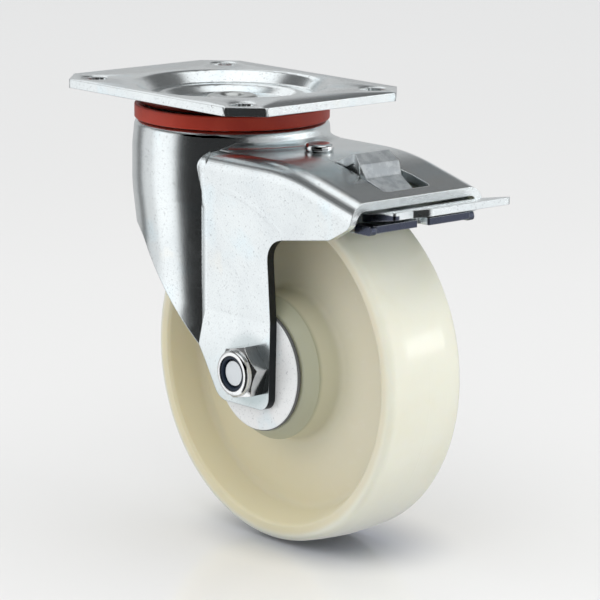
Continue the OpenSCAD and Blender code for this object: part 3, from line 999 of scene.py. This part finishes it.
@dataclass
class SwivelHead(Assembly):
    """Top plate, kingpin, races, balls and seal, in millimetres.

    The dish's line holds radii and depths.
    """

    dish_line: tuple[tuple[float, float], ...] = (
        (38.0, 0.0),
        (34.9, 0.3),
        (33.0, 1.3),
        (30.6, 4.4),
        (29.3, 5.0),
        (25.5, 5.0),
        (22.3, 7.4),
        (21.0, 8.0),
        (0.0, 8.0),
    )
    dish_rise: float = 0.2
    head_scale: float = 0.87
    head_from_r: float = 6.5
    lip_z: float = -10.2
    lip_drop: float = 0.55

    def build(self) -> None:
        """Dresses the head."""
        zinc = ZincPlate("zinc_plate", wave_mm=0.12, dressing=Dressing.PLATE)
        grey = rgb(0.48, 0.50, 0.49)
        steel = TurnedSteel("pin_steel", tint=grey, rough=0.24, centre_x=0.0, centre_z=0.0)
        seal = SealRubber("seal_red")
        self.reshape("top_plate", "pressed_plate", zinc, "plate", "zinc", self._lift_dish)
        self.reshape("kingpin", "kingpin_head", steel, "plate", "bright_steel", self._lift_head)
        self.dress(ZincPlate("zinc_hidden"), ["lower_race_cup", "swivel_lock_ring"])
        self.dress(steel, ["upper_balls", "lower_balls"])
        self.reshape("seal_ring", "seal_lip", seal, "plate", "red_seal", self._lower_lip)

    def _lift_dish(self, place: Vector) -> Vector:
        """The dish is a fifth shallower in the photograph than in the solid.

        Args:
            place: a point of the solid.

        Returns:
            The point's new place.
        """
        radius = math.hypot(place.x, place.y) / MM
        for (outer, drop_out), (inner, drop_in) in zip(self.dish_line, self.dish_line[1:]):
            if inner <= radius < outer:
                drop = drop_out + (drop_in - drop_out) * (outer - radius) / (outer - inner)
                return Vector((place.x, place.y, place.z + drop * self.dish_rise * MM))
        return place

    def _lower_lip(self, place: Vector) -> Vector:
        """The seal reaches down to just above the fork's head.

        Args:
            place: a point of the solid.

        Returns:
            The point's new place.
        """
        if place.z > self.lip_z * MM:
            return place
        return Vector((place.x, place.y, place.z - self.lip_drop * MM))

    def _lift_head(self, place: Vector) -> Vector:
        """The riveted head sits higher and is a little smaller.

        Args:
            place: a point of the solid.

        Returns:
            The point's new place.
        """
        floor = self.dish_line[-1][1] * MM
        above = place.z + floor
        if above < -FLAT_M:
            return place
        radius = math.hypot(place.x, place.y) / MM
        grow = self.head_scale if radius > self.head_from_r else 1.0
        return Vector((place.x * grow, place.y * grow, (above - floor) * (1 - self.dish_rise)))


@dataclass
class ForkAssembly(Assembly):
    """Fork with its rivet, spring, axle bolt and dust covers, in millimetres."""

    axle: tuple[float, float] = (AXLE_X * MM, AXLE_Z * MM)
    cover_kept: float = 12.0
    cover_scale: float = 0.95

    def build(self) -> None:
        """Dresses the fork and what is fixed to it."""
        self.dress(ZincPlate("zinc_fork", dressing=Dressing.FORK), ["fork"])
        self.dress(SMALL_ZINC, ["leaf_spring", "bolt_washer", "axle_sleeve"])
        cover = ZincPlate(
            "zinc_cover",
            tint=rgb(0.90, 0.91, 0.91),
            haze=rgb(0.80, 0.82, 0.82),
            rough=0.36,
            wave_mm=0.03,
            speckle=0.05,
            edge_mm=0.8,
            metal=0.25,
            dressing=Dressing.COVER,
        )
        for side in ("near", "far"):
            node, name = f"dust_cover_{side}", f"cover_disc_{side}"
            self.reshape(node, name, cover, "fork", "zinc", self._trim_cover)
        bright = TurnedSteel("bright_steel")
        self.dress(bright, ["brake_rivet", "axle_nut", "inner_ring_near", "inner_ring_far"])
        bolt = TurnedSteel("bolt_steel", tint=rgb(0.66, 0.69, 0.71), rough=0.30)
        self.dress(bolt, ["axle_bolt"])
        self.dress(BlueNylon("blue_nylon"), ["nut_insert"])

    def _trim_cover(self, place: Vector) -> Vector:
        """The cover's rim comes in a little, as in the photograph.

        Args:
            place: a point of the solid.

        Returns:
            The point's new place.
        """
        axle_x, axle_z = self.axle
        across, up = place.x - axle_x, place.z - axle_z
        radius = math.hypot(across, up) / MM
        if radius < self.cover_kept:
            return place
        grow = (self.cover_kept + (radius - self.cover_kept) * self.cover_scale) / radius
        return Vector((axle_x + across * grow, place.y, axle_z + up * grow))


@dataclass
class WheelAssembly(Assembly):
    """Nylon wheel and its ball bearings, in millimetres."""

    rim_y: float = 16.5
    bore_r: float = 10.9
    seat_r: float = 17.5
    bearing_depth: float = 11.3
    collar_r: float = 21.9
    ridge_r: float = 25.3
    ridge_y: float = 16.4
    web_in_y: float = 6.4
    web_out_y: float = 4.4
    web_fillet: float = 3.2
    rim_depth: float = 11.0
    lip_depth: float = 7.2
    crown: float = 0.4

    def build(self) -> None:
        """Dresses the wheel."""
        self._moulding(CreamNylon("cream_nylon"))
        steel = TurnedSteel("bearing_steel")
        self.dress(steel, ["outer_ring_near", "outer_ring_far"])
        self.dress(steel, ["bearing_balls_near", "bearing_balls_far"])
        self.dress(SMALL_ZINC, ["bearing_shield_near", "bearing_shield_far"])

    def _moulding(self, nylon: Finish) -> None:
        """Models the wheel with its tapered hub collars and slanted web, in the solid's room.

        Args:
            nylon: its finish.
        """
        low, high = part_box("wheel")
        axle = ((low[0] + high[0]) / 2, (low[2] + high[2]) / 2)
        tread_r, hub_y = (high[0] - low[0]) / 2 / MM, high[1] / MM
        lip_r = tread_r - self.lip_depth
        shoulder_y = hub_y - self.bearing_depth
        half = [
            (self.bore_r, shoulder_y, 0),
            (self.seat_r, shoulder_y, 0),
            (self.seat_r, hub_y, 0.3),
            (self.collar_r, hub_y, 0.8),
            (self.ridge_r, self.ridge_y + 0.25, 0),
            (self.ridge_r + 0.18, self.ridge_y, 0.1),
            (self.ridge_r - 0.1, self.ridge_y - 0.3, 0),
            (self.ridge_r + 1.1, self.web_in_y, self.web_fillet),
            (tread_r - self.rim_depth, self.web_out_y, self.web_fillet),
            (lip_r, self.rim_y - 0.9, 0.6),
            (lip_r + 0.9, self.rim_y, 0.4),
            (tread_r - 1.2, self.rim_y, 3.0),
            (tread_r - self.crown, self.rim_y - 8, 6.0),
        ]
        far = [(radius, -along, rounding) for radius, along, rounding in reversed(half)]
        turned([*half, (tread_r, 0, 0), *far], axle)
        wheel = settle("nylon_wheel", nylon, "wheel", angle=40.0)
        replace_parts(wheel, "wheel")


@dataclass
class BrakeAssembly(Assembly):
    """Pedal and brake plate."""

    def build(self) -> None:
        """Dresses the brake."""
        zinc = ZincPlate("zinc_brake", wave_mm=0.06, dressing=Dressing.BRAKE)
        self.dress(zinc, ["brake_pedal", "brake_plate"])


# Studio.


@dataclass(frozen=True)
class Panel:
    """A lighter or darker panel of the room, which only the mirrors see.

    Turns are in degrees from -Y towards +X, and a height is the Z of a unit direction.
    """

    turns: tuple[float, float]
    turn_fade: float
    heights: tuple[float, float]
    height_fade: float
    level: float


PANELS = (
    Panel((-76, -21), 4, (-0.95, 0.36), 0.10, 0.66),  # on the fork's near cheek
    Panel((-90, -55), 4, (-0.95, 0.36), 0.10, -0.42),  # on the bend of its nose
    Panel((123, 139), 5, (0.11, 0.22), 0.05, 3.0),  # on the tread
    Panel((-128, -92), 6, (0.46, 0.72), 0.06, 1.0),  # on the dish
    Panel((-14, 66), 9, (-1.2, 0.40), 0.22, -0.56),  # on faces towards the camera
    Panel((100, 152), 8, (-0.7, 0.45), 0.15, 0.52),  # on faces towards the rear
)


@dataclass
class Studio:
    """Floor, light and camera, in metres and degrees."""

    floor_z: float = -155.3 * MM
    floor_half: float = 4.0
    target: tuple[float, float, float] = (0.020, 0.0, -0.070)
    azimuth: float = 48.11
    elevation: float = 11.93
    roll: float = 0.62
    shift_right: float = 0.01124
    shift_up: float = -0.00474
    distance: float = 1.15889
    focal: float = 3291.21 / 600 * SENSOR_MM  # 3291.21 pixels of a picture 600 wide

    def build(self) -> None:
        """Sets up the whole studio."""
        self._floor()
        self._sky()
        self._lamps()
        self._camera()

    def _floor(self) -> None:
        """Lays the floor sheet, which turns with the fork so that its shade stays at the wheel."""
        clear_selection()
        centre = (0, 0, self.floor_z)
        bpy.ops.mesh.primitive_plane_add(size=2 * self.floor_half, location=centre)
        floor = bpy.context.object
        bpy.ops.object.transform_apply(location=True, rotation=True, scale=True)
        floor.name = "studio_floor"
        floor.data.materials.append(StudioFloor("floor_sheet").material())
        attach(floor, "fork")
        floor.visible_glossy = False

    def _sky(self) -> None:
        """The room: pale all round, with bright and dark walls that the metal mirrors."""
        world = bpy.data.worlds.new("studio_room")
        world.use_nodes = True
        bpy.context.scene.world = world
        g = Graph(world.node_tree)
        x, y, z = g.split(g.value("ShaderNodeTexCoord", output="Generated")).values()
        angle = g.value("ShaderNodeMath", {"operation": "ARCTAN2"}, {0: x, 1: 0 - y})
        turn = angle * math.degrees(1)
        mirrored = 0.58 - z.above(0.28, 0.52) * 0.44 + z.above(0.80, 0.88) * 1.15
        for panel in PANELS:
            sideways = turn.between(*panel.turns, panel.turn_fade)
            upright = z.between(*panel.heights, panel.height_fade)
            mirrored = mirrored + sideways * upright * panel.level
        soft = 0.93 + z * 0.26
        path = g.add("ShaderNodeLightPath")
        glossy = Value(g, path.outputs["Is Glossy Ray"])
        level = mirrored * glossy + soft * (1 - glossy)
        inputs = {"Color": rgb(0.985, 0.992, 1.0), "Strength": level}
        shade = g.add("ShaderNodeBackground", None, inputs)
        out = g.add("ShaderNodeOutputWorld")
        g.tree.links.new(shade.outputs[0], out.inputs[0])

    def _lamps(self) -> None:
        """Soft boxes, which light the scene and stay out of the mirrors."""
        self._lamp("key_box", (0.7, -0.8, 1.3), 1.0, 3.1)
        self._lamp("side_box", (1.4, 0.4, 0.5), 0.9, 2.4)

    def _lamp(self, name: str, place: Sequence[float], size: float, watts: float) -> None:
        """Adds one square soft box aimed at the castor.

        Args:
            name: its name.
            place: where it hangs.
            size: its side.
            watts: its power.
        """
        data = bpy.data.lights.new(name, "AREA")
        data.shape = "SQUARE"
        data.size = size
        data.energy = watts
        lamp = bpy.data.objects.new(name, data)
        bpy.context.scene.collection.objects.link(lamp)
        aim = (Vector(self.target) - Vector(place)).to_track_quat("-Z", "Y")
        lamp.matrix_world = Matrix.Translation(Vector(place)) @ aim.to_matrix().to_4x4()
        lamp.visible_glossy = False

    def _camera(self) -> None:
        """Places the camera at the photograph's viewing angle."""
        az, el, roll = (math.radians(a) for a in (self.azimuth, self.elevation, self.roll))
        back = Vector((math.sin(az) * math.cos(el), -math.cos(az) * math.cos(el), math.sin(el)))
        right = Vector((math.cos(az), math.sin(az), 0.0))
        up = back.cross(right)
        level = right * math.cos(roll) + up * math.sin(roll)
        upright = up * math.cos(roll) - right * math.sin(roll)
        place = Vector(self.target) + level * self.shift_right + upright * self.shift_up
        place += back * self.distance
        data = bpy.data.cameras.new("camera")
        data.sensor_fit = "HORIZONTAL"
        data.sensor_width = SENSOR_MM
        data.lens = self.focal
        camera = bpy.data.objects.new("camera", data)
        bpy.context.scene.collection.objects.link(camera)
        rows = [level, upright, back]
        basis = Matrix([[r[i] for r in rows] for i in range(3)]).to_4x4()
        camera.matrix_world = Matrix.Translation(place) @ basis
        bpy.context.scene.camera = camera


def main() -> None:
    """Builds the dressed castor and its studio."""
    logging.basicConfig(level=logging.INFO, format="%(name)s: %(message)s")
    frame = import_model()
    bpy.context.scene.view_settings.view_transform = "Standard"
    Studio().build()
    for group in (SwivelHead, ForkAssembly, WheelAssembly, BrakeAssembly):
        group(frame).build()
        LOG.info("%s done", group.__name__)


if __name__ == "__main__":
    main()
